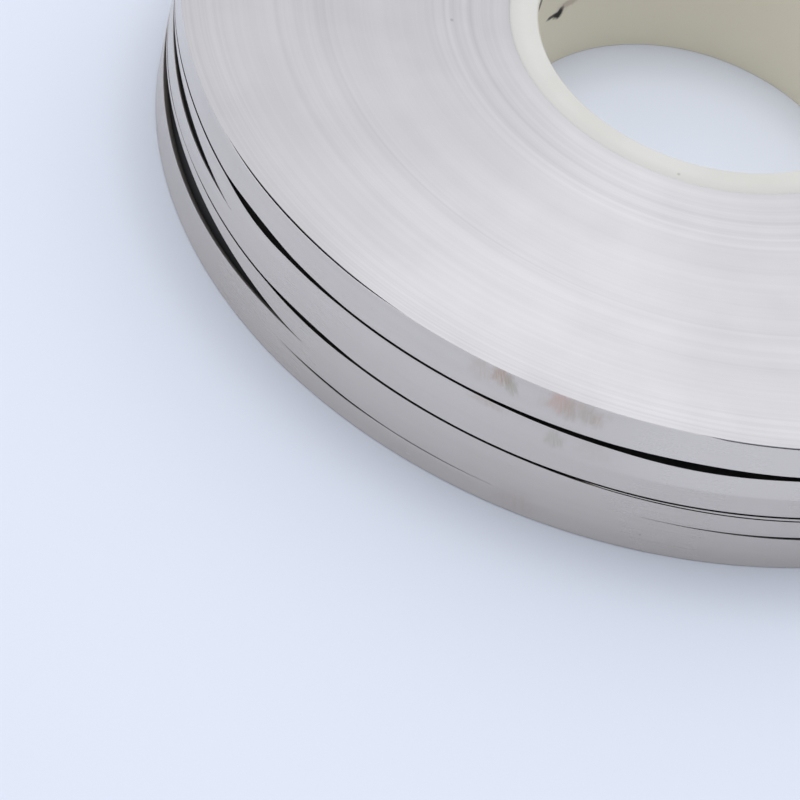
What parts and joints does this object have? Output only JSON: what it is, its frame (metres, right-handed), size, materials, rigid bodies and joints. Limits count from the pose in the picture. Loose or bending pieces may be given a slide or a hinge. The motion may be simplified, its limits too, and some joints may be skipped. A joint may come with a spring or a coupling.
{
  "type": "coil of nickel-plated steel strip on a plastic core",
  "caption": "Flat-lying coil of narrow bright nickel-plated steel strip, wound to and fro in overlapping lanes on a round plastic core with an open bore.",
  "frame": {"origin": "centre of the coil's lower end, on the floor it lies on", "axes": "+Z along the coil's axis, up out of the bore; -Y towards the front, +X to the right"},
  "size_m": [0.226, 0.226, 0.0352],
  "materials": {
    "core_plastic": "cream moulded plastic, slightly satin, with light scuffs in the bore",
    "nickel_strip": "bright satin nickel plating, with fine turn edges on both ends of the coil"
  },
  "bodies": {
    "root": {"core": "core_plastic", "wound_strip": "nickel_strip"}
  },
  "joints": []
}
